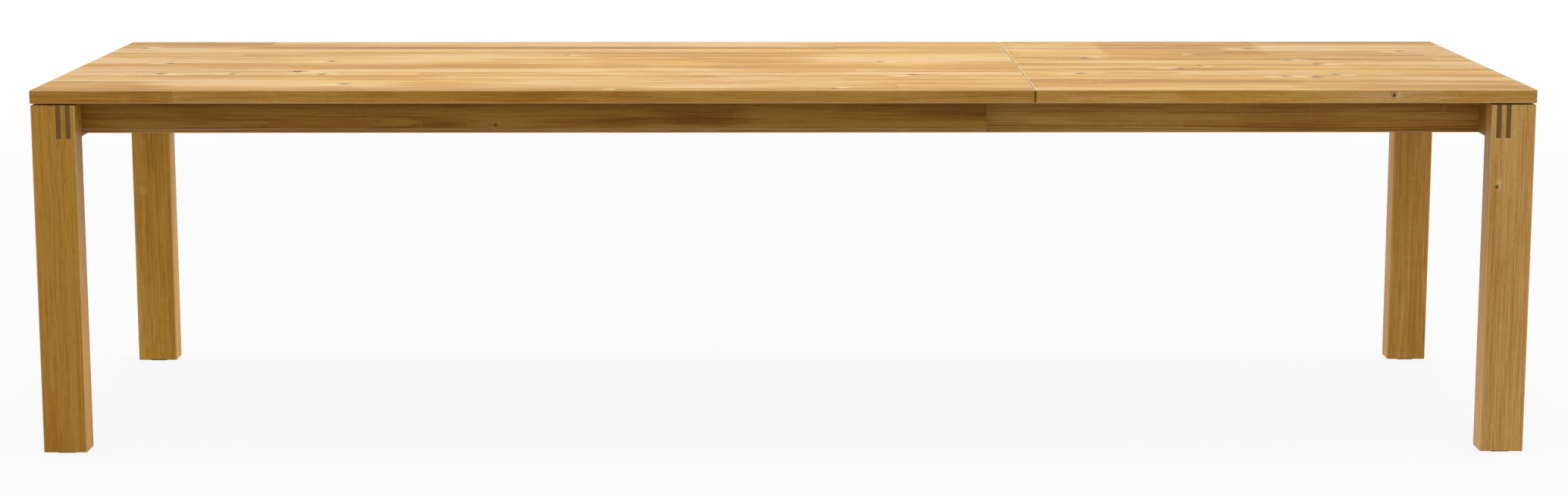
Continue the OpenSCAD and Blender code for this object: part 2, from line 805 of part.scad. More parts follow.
main_top();
main_top_battens();
leg_left_front();
leg_left_back();
end_rail_left();
apron_front();
apron_back();
bearer_front();
bearer_back();
guide_track_front();
guide_track_back();
track_bumpers();
packing_pads();
top_screws();
track_screws();
main_batten_screws();
frame_bolts_left();
barrel_nuts_left();
dowels_left();
foot_glides_left();
catch_pivots();
catch_hook_front();
catch_hook_back();
leg_right_front();
leg_right_back();
end_rail_right();
sliding_rail_front();
sliding_rail_back();
cross_rail();
seam_rail();
guide_runner_front();
guide_runner_back();
runner_screws();
leaf_pads();
frame_bolts_right();
barrel_nuts_right();
dowels_right();
foot_glides_right();
ball_cage_front();
ball_cage_back();
guide_balls_front();
guide_balls_back();
leaf();
leaf_battens();
leaf_batten_screws();
catch_pins();
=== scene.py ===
import math

import bpy
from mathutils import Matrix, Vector


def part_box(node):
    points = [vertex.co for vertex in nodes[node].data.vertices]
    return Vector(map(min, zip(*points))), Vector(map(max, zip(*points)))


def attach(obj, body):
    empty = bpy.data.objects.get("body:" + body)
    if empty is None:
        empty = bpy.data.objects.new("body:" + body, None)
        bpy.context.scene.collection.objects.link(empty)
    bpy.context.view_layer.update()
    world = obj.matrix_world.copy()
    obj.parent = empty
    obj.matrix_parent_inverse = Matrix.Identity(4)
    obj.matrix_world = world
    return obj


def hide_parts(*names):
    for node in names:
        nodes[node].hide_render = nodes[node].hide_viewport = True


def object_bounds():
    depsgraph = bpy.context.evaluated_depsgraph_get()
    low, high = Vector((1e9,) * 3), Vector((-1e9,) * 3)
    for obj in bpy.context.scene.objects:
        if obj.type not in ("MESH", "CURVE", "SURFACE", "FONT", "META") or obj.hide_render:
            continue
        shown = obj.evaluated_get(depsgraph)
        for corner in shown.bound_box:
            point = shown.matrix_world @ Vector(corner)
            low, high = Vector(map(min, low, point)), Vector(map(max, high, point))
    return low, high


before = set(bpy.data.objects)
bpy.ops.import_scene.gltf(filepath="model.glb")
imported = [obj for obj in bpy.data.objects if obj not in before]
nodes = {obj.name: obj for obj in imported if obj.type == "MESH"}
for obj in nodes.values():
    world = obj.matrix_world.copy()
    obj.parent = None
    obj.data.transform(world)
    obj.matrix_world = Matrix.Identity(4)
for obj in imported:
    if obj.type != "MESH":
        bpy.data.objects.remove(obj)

cadBox = [list(corner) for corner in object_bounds()]
print("stage: frame loaded,", len(nodes), "nodes")


# One socket of a node tree, with Python's operators on values
class Wire:
    def __init__(self, net, socket):
        self.net = net
        self.socket = socket

    def __add__(self, other):
        return self.net.maths("ADD", self, other)

    def __sub__(self, other):
        return self.net.maths("SUBTRACT", self, other)

    def __rsub__(self, other):
        return self.net.maths("SUBTRACT", other, self)

    def __mul__(self, other):
        return self.net.maths("MULTIPLY", self, other)

    def __truediv__(self, other):
        return self.net.maths("DIVIDE", self, other)

    def __pow__(self, other):
        return self.net.maths("POWER", self, other)

    def __abs__(self):
        return self.net.maths("ABSOLUTE", self)

    __radd__ = __add__
    __rmul__ = __mul__


# A node tree of a material, the world or a geometry group
class Net:
    def __init__(self, tree):
        self.tree = tree
        self.tree.nodes.clear()

    # adds a node: its settings first, then the values or links of its sockets
    def add(self, kind, settings=None, values=(), out=0):
        made = self.tree.nodes.new(kind)
        for key, value in (settings or {}).items():
            setattr(made, key, value)
        pairs = values.items() if isinstance(values, dict) else enumerate(values)
        for key, value in pairs:
            if isinstance(value, Wire):
                self.tree.links.new(value.socket, made.inputs[key])
            else:
                made.inputs[key].default_value = value
        return Wire(self, made.outputs[out]) if len(made.outputs) else made

    def input(self, name):
        return self.add("NodeGroupInput", out=name)

    def maths(self, operation, *values):
        return self.add("ShaderNodeMath", {"operation": operation}, values)

    # 0 up to the start, 1 from the end on, or other levels
    def smooth(self, value, start, end, low=0.0, high=1.0):
        return self.add("ShaderNodeMapRange", {"interpolation_type": "SMOOTHSTEP"},
                        (value, start, end, low, high))

    # 1 up to the start, 0 from the end on
    def fall(self, value, start, end):
        return self.smooth(value, start, end, 1.0, 0.0)

    def tint(self, factor, first, second):
        return self.add("ShaderNodeMix", {"data_type": "RGBA"},
                        {0: factor, 6: first, 7: second}, 2)

    def vector(self, operation, *values, out=0):
        return self.add("ShaderNodeVectorMath", {"operation": operation}, values, out)

    def join(self, x, y, z):
        return self.add("ShaderNodeCombineXYZ", None, (x, y, z))

    def split(self, value):
        return [self.add("ShaderNodeSeparateXYZ", None, (value,), out) for out in range(3)]

    def noise(self, place, scale=1.0, detail=2.0, roughness=0.5, out=0):
        return self.add("ShaderNodeTexNoise", None,
                        {"Vector": place, "Scale": scale, "Detail": detail,
                         "Roughness": roughness}, out)

    # one random level, or three, for every whole number
    def dice(self, number):
        return self.add("ShaderNodeTexWhiteNoise", {"noise_dimensions": "1D"}, {"W": number})

    def threeDice(self, dimensions, values):
        return self.split(self.add("ShaderNodeTexWhiteNoise", {"noise_dimensions": dimensions},
                                   values, "Color"))

    def place(self):
        return self.add("ShaderNodeTexCoord", out="Object")

    # a principled surface with a bump
    def surface(self, colour, roughness, bump, strength, distance, **others):
        values = {"Base Color": colour, "Roughness": roughness}
        values.update({key.replace("_", " "): value for key, value in others.items()})
        values["Normal"] = self.add("ShaderNodeBump", None, {"Strength": strength,
                                    "Distance": distance, "Height": bump})
        shader = self.add("ShaderNodeBsdfPrincipled", None, values)
        self.add("ShaderNodeOutputMaterial", None, {"Surface": shader})


def newMaterial(name):
    material = bpy.data.materials.new(name)
    material.use_nodes = True
    return material, Net(material.node_tree)


def opaque(colour):
    return (*colour, 1.0)


def grey(level):
    return (level, level, level, 1.0)


def paint(names, material):
    for name in names:
        slots = nodes[name].data.materials
        slots.clear()
        slots.append(material)


# Oiled oak. Colours are of the wood itself, apart from the painted highlight and painted shade noted
# below; lengths are in metres.
oak = {
    "pale": (0.760, 0.470, 0.150),
    "middle": (0.610, 0.320, 0.066),
    "deep": (0.410, 0.180, 0.026),
    "pore": (0.230, 0.098, 0.020),
    "knot": (0.060, 0.024, 0.008),
    "knotRim": (0.330, 0.130, 0.022),
    "flame": (0.900, 0.670, 0.380),
    "endGrain": (0.212, 0.118, 0.044),
    # pale worn edges, and the painted highlight on the rims of the tops
    "wornAndHighlight": (0.900, 0.660, 0.340),
    "cool": (1.00, 1.050, 1.60),
    "warm": (1.00, 0.960, 0.62),
    # painted shade for the tops' long sides, darker and more saturated
    "side": (0.955, 0.895, 0.88),
    "edge": 0.0035,
    "edgeCore": 0.4,
    "rimWearAndHighlight": 1.8,
    "poreLength": 0.0060,
    "poreWidth": 0.00034,
    "gloss": 0.48,
    "shine": 0.22,
    "bending": 1.45,
    "bumpStrength": 0.3,
    "bumpDepth": 0.0003,
}

# u runs along the grain, v across the face, w through the piece
grainAxes = {"x": (0, 1, 2), "xUpright": (0, 2, 1), "y": (1, 2, 0), "z": (2, 0, 1)}

# Where each mask of the wood starts and ends, with the two levels where they aren't 0 and 1
limits = {
    "early": (0.0, 0.12),
    "late": (0.2, 0.85),
    "pores": (0.54, 0.68),
    "flecks": (0.64, 0.74),
    "middle": (0.0, 0.5),
    "deep": (0.42, 1.15),
    "warmth": (-0.35, 0.85),
    "core": (0.35, 0.80),
    "rim": (0.6, 1.7),
    "flame": (0.1, 1.0),
    "swell": (0.0, 1.0),
    "wearAndHighlight": (0.35, 0.6, 0.35, 1.0),
    "side": (0.6, 0.9),
    "ends": (0.8, 0.97),
}

# The wood's noises: their waves per metre along u, v and w, their detail and roughness, then the
# direction and the distance that a board's own dice moves them
woodNoises = {
    "stir": ((90.0, 90.0, 90.0), 3.0, 0.5, 0, 0.0),
    "drift": ((1.4, 9.0, 9.0), 3.0, 0.5, 1, 9.0),
    "uneven": ((1.1, 42.0, 42.0), 2.0, 0.5, 1, 5.0),
    "fine": ((9.0, 70.0, 70.0), 2.0, 0.5, 2, 9.0),
    "streaks": ((7.0, 190.0, 190.0), 3.0, 0.8, 0, 0.0),
    "flecks": ((60.0, 22.0, 150.0), 1.0, 0.5, 1, 7.0),
    "band": ((0.9, 22.0, 22.0), 4.0, 0.55, 0, 5.0),
    "cloud": ((2.4, 5.0, 5.0), 2.0, 0.5, 2, 3.0),
    "hue": ((1.3, 7.0, 7.0), 2.0, 0.5, 0, 9.0),
}


def woodNoise(net, wood, label, dice=0.0, out=0):
    waves, detail, roughness, direction, distance = woodNoises[label]
    places = [part * wave for part, wave in zip(wood, waves)]
    if distance:
        places[direction] = places[direction] + dice * distance
    return net.noise(net.join(*places), detail=detail, roughness=roughness, out=out)


# How the boards of a top are cut, and where their pith lies
boards = {
    "swayWaves": 2.1,
    "sway": 0.2,
    "firstRow": 50.0,
    "seedStep": 3.7,
    "diceStep": 11.3,
    "lengthSpread": 0.7,
    "shift": 5.0,
    "joint": 0.0008,
    "pithSpread": 0.10,
    "pithHeight": 0.705,
    "pithLean": 0.05,
}


# rows of uneven width, cut to uneven lengths; every board has three dice
def layBoards(net, wood, seed, width, length):
    u, v, w = wood
    sway = net.maths("SINE", v * (boards["swayWaves"] / width) + seed)
    rowPlace = v / width + sway * boards["sway"] + (seed * boards["seedStep"] + boards["firstRow"])
    row = net.maths("FLOOR", rowPlace)
    inRow = rowPlace - row
    rowDice = net.threeDice("1D", {"W": row + seed * boards["diceStep"]})
    boardPlace = u / (rowDice[0] * boards["lengthSpread"] + length) + rowDice[1] * boards["shift"]
    board = net.maths("FLOOR", boardPlace)
    inBoard = boardPlace - board
    dice = net.threeDice("2D", {"Vector": net.join(row, board + seed, 0.0)})
    sideJoint = net.smooth(abs(inRow - 0.5), 0.5 - boards["joint"] / width, 0.5)
    endJoint = net.smooth(abs(inBoard - 0.5), 0.5 - boards["joint"] / length, 0.5)
    aside = (inRow - dice[2]) * width
    below = dice[0] * boards["pithSpread"] + w - boards["pithHeight"] \
        + u * ((dice[1] - 0.5) * boards["pithLean"])
    return aside, below, dice, net.maths("MAXIMUM", sideJoint, endJoint)


# A piece cut from one board: its pith lies beside the middle and leans, and may bend higher up
block = {"diceSteps": (3.1, 5.7, 8.3), "pithLean": 0.03, "bendStart": 0.42}


def cutBlock(net, wood, piece, axes, seed, pith, curve):
    u, v, w = wood
    dice = [0.5 + 0.5 * math.sin(seed * step) for step in block["diceSteps"]]
    low, high = (Vector(corner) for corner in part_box(piece))
    middle = (low + high) / 2
    aside = v + (pith[0] - middle[axes[1]])
    below = w + (pith[1] - middle[axes[2]]) + u * ((dice[1] - 0.5) * block["pithLean"])
    if curve:
        rise = net.maths("MAXIMUM", u - block["bendStart"], 0.0)
        aside = aside + rise * rise * curve
    return aside, below, dice


# Knots: an uneven dark core, a brown rim, a pale flame beside it, and the rings' swell round it.
# Shapes are shares of a knot's size along u, v and w.
knotForm = {
    "core": (0.75, 0.80, 0.6),
    "flame": (0.20, 0.40, 0.3),
    "swell": (0.14, 0.42, 0.3),
    "stir": 1.3,
    "flameAlong": (-1.75, 2.5),
    "flameAside": 1.2,
}


def knotMasks(net, wood, knots):
    masks = {"core": 0.0, "rim": 0.0, "flame": 0.0, "swell": 0.0}
    if not knots:
        return masks
    here = net.join(*wood)
    bend = net.vector("SUBTRACT", woodNoise(net, wood, "stir", out="Color"), (0.5, 0.5, 0.5))

    def distance(offset, form, size):
        scaled = net.vector("MULTIPLY", offset, [share / size for share in knotForm[form]])
        return net.vector("LENGTH", scaled, out="Value")

    for index, (*place, size) in enumerate(knots):
        away = net.vector("SUBTRACT", here, place)
        stirred = net.vector("MULTIPLY", bend, [size * knotForm["stir"]] * 3)
        near = distance(net.vector("ADD", away, stirred), "core", size)
        along = size * knotForm["flameAlong"][index % 2]
        aside = size * knotForm["flameAside"] * (1 if index % 3 else -1)
        beside = distance(net.vector("ADD", away, (along, aside, 0.0)), "flame", size)
        wide = distance(away, "swell", size)
        for name, measure in (("core", near), ("rim", near), ("flame", beside), ("swell", wide)):
            masks[name] = net.maths("MAXIMUM", net.fall(measure, *limits[name]), masks[name])
    return masks


# Growth rings round the pith: how far noises and knots bend them, and how faint one can be
ringForm = {"drift": 0.016, "uneven": 0.009, "fine": 0.0014, "knot": 0.012, "weakest": 0.3}


def ringRadius(net, wood, aside, below, dice):
    radius = (aside * aside + below * below) ** 0.5
    for label, own in (("drift", dice[0]), ("uneven", dice[1]), ("fine", dice[1])):
        radius = radius + (woodNoise(net, wood, label, own) - 0.5) * ringForm[label]
    return radius


# dark soon after a ring starts, then fading; every ring has its own strength
def earlyWood(net, turns, seed):
    phase = net.maths("FRACT", turns)
    strength = net.dice(net.maths("FLOOR", turns) + seed) + ringForm["weakest"]
    return net.smooth(phase, *limits["early"]) * net.fall(phase, *limits["late"]) * strength


# open pores: short dark dashes, thickest in the early wood
def openPores(net, wood, early):
    u, v, w = wood
    place = net.join(u / oak["poreLength"], v / oak["poreWidth"], w / oak["poreWidth"])
    dashes = net.noise(place, scale=0.5, detail=1.0, roughness=0.6)
    return net.smooth(dashes, *limits["pores"]) * (early * 0.75 + 0.25)


# edges worn paler, with a painted highlight on the rims of a top, strongest at its end rims by the
# seam; and the edges of a rail or leg that run with its grain
def wornAndHighlitEdges(net, piece, parts, axes, isTop):
    low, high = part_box(piece)
    close = []
    for axis, part in enumerate(parts):
        depth = net.maths("MINIMUM", part - low[axis], high[axis] - part)
        close.append(net.fall(depth, oak["edge"] * oak["edgeCore"], oak["edge"]))
    if isTop:
        return close[0] * close[2] * oak["rimWearAndHighlight"] + close[1] * close[2]
    return close[axes[1]] * close[axes[2]]


# What each pattern adds: to the depth of tone, to its warmth, as cover over the colour, to the
# darkness of end grain, to roughness and to relief
depthShares = {"band": 2.3, "cloud": 1.4, "board": 0.4, "streaks": 1.7, "start": 0.40, "rings": 0.2}
warmShares = {"depth": 0.8, "hue": 2.2, "board": 0.4}
covers = {"flecks": 0.22, "pores": 0.55, "flame": 0.65, "rim": 0.5, "core": 0.95, "joint": 0.30,
          "edge": 0.5, "edgeMost": 0.9}
cutShares = {"early": 0.2, "pores": 0.45}
roughShares = {"pores": 0.16, "band": 0.12, "ends": 0.15}
sinkShares = {"pores": 0.8, "joint": 0.6, "early": 0.15, "core": 0.4}
fadeAcross = 0.25


def makeOak(piece, label, grain, seed, tone, stave=None, boardLength=1.0, pith=(0.12, 0.08),
            knots=(), patches=(), endShade=0.6, bands=1.0, rings=0.20, ring=0.0031, curve=0.0):
    material, net = newMaterial(label)
    parts = net.split(net.place())
    axes = grainAxes[grain]
    wood = [parts[axis] for axis in axes]
    joint = 0.0
    if stave:
        aside, below, dice, joint = layBoards(net, wood, seed, stave, boardLength)
    else:
        aside, below, dice = cutBlock(net, wood, piece, axes, seed, pith, curve)
    masks = knotMasks(net, wood, knots)
    radius = ringRadius(net, wood, aside, below, dice)
    if knots:
        radius = radius + masks["swell"] * masks["swell"] * ringForm["knot"]
    early = earlyWood(net, radius / ring, seed)
    pores = openPores(net, wood, early)
    streaks = woodNoise(net, wood, "streaks")
    flecks = net.smooth(woodNoise(net, wood, "flecks", dice[1]), *limits["flecks"])

    # broad tone: in soft bands along the boards, drifting slowly, and from board to board
    band = woodNoise(net, wood, "band", dice[2])
    cloud = woodNoise(net, wood, "cloud", dice[0])
    depth = (band - 0.5) * (depthShares["band"] * bands) \
        + (cloud - 0.5) * (depthShares["cloud"] * bands) + (dice[1] - 0.5) * depthShares["board"] \
        + (streaks - 0.5) * depthShares["streaks"] + early * rings \
        + (depthShares["start"] - rings * depthShares["rings"])
    # the listed places add to the depth; those by the seam's ends are painted shade
    for along, across, halfLength, halfWidth, fade, change in patches:
        inside = net.fall(abs(wood[0] - along), halfLength, halfLength + fade) \
            * net.fall(abs(wood[1] - across), halfWidth, halfWidth + fade * fadeAcross)
        depth = depth + inside * change
    colour = net.tint(net.smooth(depth, *limits["middle"]),
                      opaque(oak["pale"]), opaque(oak["middle"]))
    colour = net.tint(net.smooth(depth, *limits["deep"]), colour, opaque(oak["deep"]))
    colour = net.tint(flecks * covers["flecks"], colour, opaque(oak["pale"]))
    if stave:
        # dark wood is yellower, pale wood is cooler, and so are some boards
        hue = woodNoise(net, wood, "hue", dice[2])
        warmth = depth * warmShares["depth"] + (hue - 0.5) * warmShares["hue"] \
            + (dice[2] - 0.5) * warmShares["board"]
        warmth = net.smooth(warmth, *limits["warmth"])
        cast = net.tint(warmth, opaque(oak["cool"]), opaque(oak["warm"]))
        colour = net.vector("MULTIPLY", colour, cast)
    colour = net.tint(pores * covers["pores"], colour, opaque(oak["pore"]))
    if knots:
        for mark, shade in (("flame", "flame"), ("rim", "knotRim"), ("core", "knot")):
            colour = net.tint(masks[mark] * covers[mark], colour, opaque(oak[shade]))
    if stave:
        colour = net.tint(joint * covers["joint"], colour, opaque(oak["pore"]))
    colour = net.vector("MULTIPLY", colour, tone)
    # pale worn edges; on the tops' end rims by the seam this is also a painted highlight
    edge = wornAndHighlitEdges(net, piece, parts, axes, bool(stave)) * net.smooth(streaks, *limits["wearAndHighlight"])
    edge = net.maths("MINIMUM", edge * covers["edge"], covers["edgeMost"])
    colour = net.tint(edge, colour, opaque(oak["wornAndHighlight"]))

    # the long sides of the tops are painted darker and more saturated, a painted shade by the face's
    # direction, and end grain is darker
    normal = net.split(net.add("ShaderNodeNewGeometry", out="Normal"))
    if stave:
        side = net.smooth(abs(normal[axes[1]]), *limits["side"])
        colour = net.vector("MULTIPLY", colour, net.tint(side, grey(1.0), opaque(oak["side"])))
    ends = net.smooth(abs(normal[axes[0]]), *limits["ends"])
    cut = net.tint(early * cutShares["early"] + pores * cutShares["pores"],
                   opaque(oak["endGrain"]), opaque(oak["pore"]))
    colour = net.tint(ends * endShade, colour, cut)

    roughness = pores * roughShares["pores"] + (band - 0.5) * roughShares["band"] \
        + ends * roughShares["ends"] + oak["gloss"]
    relief = 1.0 - pores * sinkShares["pores"] - joint * sinkShares["joint"] \
        - early * sinkShares["early"] - masks["core"] * sinkShares["core"]
    net.surface(colour, roughness, relief, oak["bumpStrength"], oak["bumpDepth"],
                IOR=oak["bending"], Specular_IOR_Level=oak["shine"])
    return material


# knots: place along and across the face and through the piece, and size
topFace = cadBox[1][2]
topKnots = [(x, y, topFace, size) for x, y, size in (
    (-1.444, 0.36, 0.008), (-1.32, 0.02, 0.008), (-1.30, -0.19, 0.010), (-1.15, -0.19, 0.008),
    (-1.02, -0.145, 0.015), (-0.98, 0.066, 0.009), (-0.96, -0.20, 0.008), (-0.89, -0.385, 0.009),
    (-0.476, 0.19, 0.007), (-0.33, -0.487, 0.006), (0.21, 0.05, 0.007), (0.27, -0.217, 0.010),
    (0.10, -0.464, 0.007))]
leafKnots = [(x, y, topFace, size) for x, y, size in (
    (0.66, 0.13, 0.011), (0.62, -0.19, 0.009), (0.88, 0.21, 0.006), (0.84, -0.10, 0.011),
    (0.89, -0.04, 0.007), (1.05, 0.34, 0.010), (1.10, 0.08, 0.009), (1.04, -0.246, 0.008),
    (1.15, 0.00, 0.011), (1.10, -0.26, 0.011), (1.15, -0.217, 0.009), (1.38, 0.275, 0.009))]
leafKnots.append((1.214, -0.5, 0.729, 0.0036))

# darker and paler places, with painted shade at the seam's ends: along, across, half length, half
# width, fade, change of depth
topPatches = [
    (-1.335, 0.455, 0.165, 0.035, 0.01, 0.55), (-1.38, -0.42, 0.10, 0.07, 0.06, 0.28),
    (-0.35, 0.355, 0.80, 0.012, 0.10, 0.40), (-1.30, 0.018, 0.20, 0.0015, 0.02, 0.70),
    (-0.20, 0.14, 0.12, 0.10, 0.25, 0.35), (-0.70, -0.135, 0.26, 0.008, 0.10, -0.60),
    (0.27, -0.2165, 0.03, 0.002, 0.03, 1.30), (0.25, -0.2165, 0.25, 0.0008, 0.01, 0.40),
    (-1.05, -0.38, 0.20, 0.03, 0.12, -0.45), (-0.20, -0.41, 0.35, 0.04, 0.15, -0.25),
    (-0.83, -0.275, 0.08, 0.02, 0.08, 0.35), (-0.07, 0.05, 0.10, 0.004, 0.05, 0.60),
    (0.30, 0.15, 0.15, 0.06, 0.15, -0.35), (0.20, -0.08, 0.30, 0.02, 0.12, 0.30),
    # the last two places of this list, at x 0.4995 by the seam's front and back ends, are painted
    # shade for the shadow in the seam gap
    (-1.36, -0.50, 0.14, 0.002, 0.008, 0.35), (0.4995, -0.50, 0.0015, 0.002, 0.002, 1.60),
    (0.4995, 0.50, 0.0015, 0.002, 0.002, 1.60)]
leafPatches = [
    (0.895, 0.345, 0.175, 0.145, 0.012, 0.20), (0.98, 0.385, 0.06, 0.012, 0.09, 0.40),
    (0.85, -0.34, 0.12, 0.015, 0.12, 0.25), (0.62, 0.30, 0.08, 0.12, 0.04, -0.25),
    (0.75, -0.18, 0.05, 0.01, 0.05, 0.35), (1.25, -0.44, 0.20, 0.03, 0.05, 0.25),
    # these two places, by the seam's front and back ends, are painted shade for the shadow in the
    # seam gap
    (0.5005, -0.50, 0.0015, 0.002, 0.002, 1.60), (0.5005, 0.50, 0.0015, 0.002, 0.002, 1.60)]
apronPatches = [
    (-0.165, 0.676, 0.03, 0.008, 0.09, 0.65), (-0.40, 0.668, 0.10, 0.004, 0.06, 0.35),
    (0.02, 0.690, 0.06, 0.006, 0.06, -0.40)]

# What sets each piece of wood apart: its grain, its seed, its tone, where its pith lies beside its
# middle, the share of bands and rings in its figure, and the width of a ring
topWood = {"grain": "x", "tone": (1.07, 1.055, 0.96)}
legWood = {"grain": "z", "bands": 0.55, "rings": 0.30}
endRailWood = {"grain": "y", "tone": (0.62, 0.52, 0.26), "endShade": 0.92}
uprightWood = {"grain": "xUpright", "pith": (0.02, 0.05), "bands": 1.25, "rings": 0.50}
apronWood = {**uprightWood, "tone": (0.57, 0.467, 0.188)}
# The bearers' paler tone is partly a painted highlight, standing for the floor's light on the strip
# below the aprons.
bearerWood = {**uprightWood, "tone": (1.15, 1.08, 0.95)}
crossRailWood = {"grain": "y", "tone": (0.845, 0.79, 0.61)}
slidingRailWood = {"grain": "xUpright", "tone": (0.845, 0.79, 0.61), "pith": (0.07, 0.03),
                   "rings": 0.60, "ring": 0.0048}
dowelWood = {"grain": "x", "tone": (1.1, 1.05, 1.3), "bands": 0.3}
woodPieces = {
    "main_top": {**topWood, "label": "oakMainTop", "seed": 1.0, "stave": 0.105, "boardLength": 2.2,
                 "knots": topKnots, "patches": topPatches},
    "leaf": {**topWood, "label": "oakLeaf", "seed": 2.0, "stave": 0.115, "boardLength": 2.6,
             "knots": leafKnots, "patches": leafPatches},
    "leg_left_front": {**legWood, "label": "oakLeg0", "seed": 3.0, "tone": (0.87, 0.71, 0.328),
                       "pith": (-0.13, 0.07), "curve": 0.45},
    # The back legs' paler tones are partly painted light, making up for the shade under the table.
    "leg_left_back": {**legWood, "label": "oakLeg1", "seed": 4.7, "tone": (1.31, 1.28, 0.94),
                      "pith": (0.13, 0.07)},
    "leg_right_front": {**legWood, "label": "oakLeg2", "seed": 6.4, "tone": (1.085, 1.01, 0.97),
                        "pith": (-0.13, 0.07), "knots": [(0.545, 1.426, -0.499, 0.0034)]},
    "leg_right_back": {**legWood, "label": "oakLeg3", "seed": 8.1, "tone": (1.18, 1.13, 1.05),
                       "pith": (0.13, 0.07)},
    "end_rail_left": {**endRailWood, "label": "oakEndRail0", "seed": 12.0},
    "end_rail_right": {**endRailWood, "label": "oakEndRail1", "seed": 13.0},
    "apron_front": {**apronWood, "label": "oakApron0", "seed": 21.0,
                    "knots": [(-0.58, 0.663, -0.435, 0.0030)], "patches": apronPatches},
    "apron_back": {**apronWood, "label": "oakApron1", "seed": 22.3},
    "bearer_front": {**bearerWood, "label": "oakApron2", "seed": 23.6},
    "bearer_back": {**bearerWood, "label": "oakApron3", "seed": 24.9},
    "sliding_rail_front": {**slidingRailWood, "label": "oakRail0", "seed": 27.0},
    "sliding_rail_back": {**slidingRailWood, "label": "oakRail1", "seed": 28.3},
    "cross_rail": {**crossRailWood, "label": "oakCross0", "seed": 31.0},
    "seam_rail": {**crossRailWood, "label": "oakCross1", "seed": 32.0},
    "dowels_left": {**dowelWood, "label": "beechDowel0", "seed": 41.0},
    "dowels_right": {**dowelWood, "label": "beechDowel1", "seed": 42.0},
}

for name, figure in woodPieces.items():
    paint([name], makeOak(name, **figure))
print("stage: wood painted")


# Metals are brushed along one direction, with specks and a slow tarnish. Each noise has its scale,
# detail and roughness.
metalNoises = {"brushed": (60.0, 3.0, 0.7), "specks": (900.0, 2.0, 0.6), "tarnish": (14.0, 4.0, 0.6)}
metals = {
    "batten": {"label": "battenSteel", "colour": (0.46, 0.47, 0.49), "roughness": 0.42,
               "brushing": (30.0, 1.0, 30.0)},
    "aluminium": {"label": "millAluminium", "colour": (0.80, 0.81, 0.82), "roughness": 0.36},
    "cage": {"label": "cageSteel", "colour": (0.58, 0.58, 0.59), "roughness": 0.30},
    "ball": {"label": "ballSteel", "colour": (0.78, 0.78, 0.79), "roughness": 0.10},
    "zinc": {"label": "zincSteel", "colour": (0.62, 0.63, 0.65), "roughness": 0.34},
}


def scaled(colour, share, lift=0.0):
    return opaque([part * share + lift for part in colour])


def makeMetal(label, colour, roughness, brushing=(1.0, 30.0, 30.0)):
    material, net = newMaterial(label)
    place = net.place()
    brushed = net.noise(net.vector("MULTIPLY", place, brushing), *metalNoises["brushed"])
    specks = net.noise(place, *metalNoises["specks"])
    tarnish = net.noise(place, *metalNoises["tarnish"])
    dull = scaled(colour, 0.72)
    tinted = net.tint(net.smooth(tarnish, 0.42, 0.7) * 0.35, opaque(colour), dull)
    tinted = net.tint((brushed - 0.3) * 0.5, tinted, dull)
    rough = (brushed - 0.5) * 0.25 + (tarnish - 0.5) * 0.12 + roughness
    net.surface(tinted, rough, brushed * 0.6 + specks * 0.4, 0.12, 0.0002, Metallic=1.0)
    return material


felt = {"colour": (0.055, 0.048, 0.042), "stretch": (1.0, 1.0, 2.5), "fibres": (2600.0, 3.0, 0.75),
        "clumps": (420.0, 3.0, 0.6), "dark": 0.55, "pale": 1.6}


def makeFelt():
    material, net = newMaterial("darkFelt")
    place = net.place()
    fibres = net.noise(net.vector("MULTIPLY", place, felt["stretch"]), *felt["fibres"])
    clumps = net.noise(place, *felt["clumps"])
    tinted = net.tint(fibres, scaled(felt["colour"], felt["dark"]),
                      scaled(felt["colour"], felt["pale"]))
    tinted = net.tint(net.smooth(clumps, 0.45, 0.7) * 0.4, tinted, opaque(felt["colour"]))
    net.surface(tinted, 0.95, fibres * 0.7 + clumps * 0.3, 0.6, 0.0005, Sheen_Weight=0.3)
    return material


rubber = {"colour": (0.018, 0.018, 0.019), "grain": (1500.0, 3.0, 0.65), "bloom": (60.0, 3.0, 0.6),
          "bloomShare": 1.9, "bloomLift": 0.008}


def makeRubber():
    material, net = newMaterial("blackRubber")
    place = net.place()
    grain = net.noise(place, *rubber["grain"])
    bloom = net.noise(place, *rubber["bloom"])
    dusty = scaled(rubber["colour"], rubber["bloomShare"], rubber["bloomLift"])
    tinted = net.tint(net.smooth(bloom, 0.4, 0.75) * 0.5, opaque(rubber["colour"]), dusty)
    net.surface(tinted, (bloom - 0.5) * 0.2 + 0.62, grain, 0.2, 0.0002)
    return material


finishes = {name: makeMetal(**metal) for name, metal in metals.items()}
finishes["felt"] = makeFelt()
finishes["rubber"] = makeRubber()

# words of the CAD nodes' names that tell what a piece is made of
hardware = {
    "batten": ("top_battens", "leaf_battens", "catch_hook"),
    "aluminium": ("guide_track", "guide_runner"),
    "cage": ("ball_cage",),
    "ball": ("guide_balls",),
    "zinc": ("screws", "bolts", "nuts", "catch_pivots", "catch_pins"),
    "felt": ("_pads", "foot_glides"),
    "rubber": ("track_bumpers",),
}

for finish, words in hardware.items():
    paint([name for name in nodes if any(word in name for word in words)], finishes[finish])
print("stage: hardware painted")


# The box of each separate solid in a CAD node
def solidBoxes(name):
    mesh = nodes[name].data
    leader = {}

    def find(key):
        while leader.setdefault(key, key) != key:
            key = leader[key]
        return key

    def keyOf(index):
        return tuple(round(part, 5) for part in mesh.vertices[index].co)

    for polygon in mesh.polygons:
        first, *others = [find(keyOf(index)) for index in polygon.vertices]
        for other in others:
            leader[find(other)] = find(first)
    groups = {}
    for vertex in mesh.vertices:
        groups.setdefault(find(keyOf(vertex.index)), []).append(vertex.co)
    boxes = [(Vector(map(min, zip(*group))), Vector(map(max, zip(*group))))
             for group in groups.values()]
    return sorted(boxes, key=lambda pair: tuple(round(part, 4) for part in pair[0]))


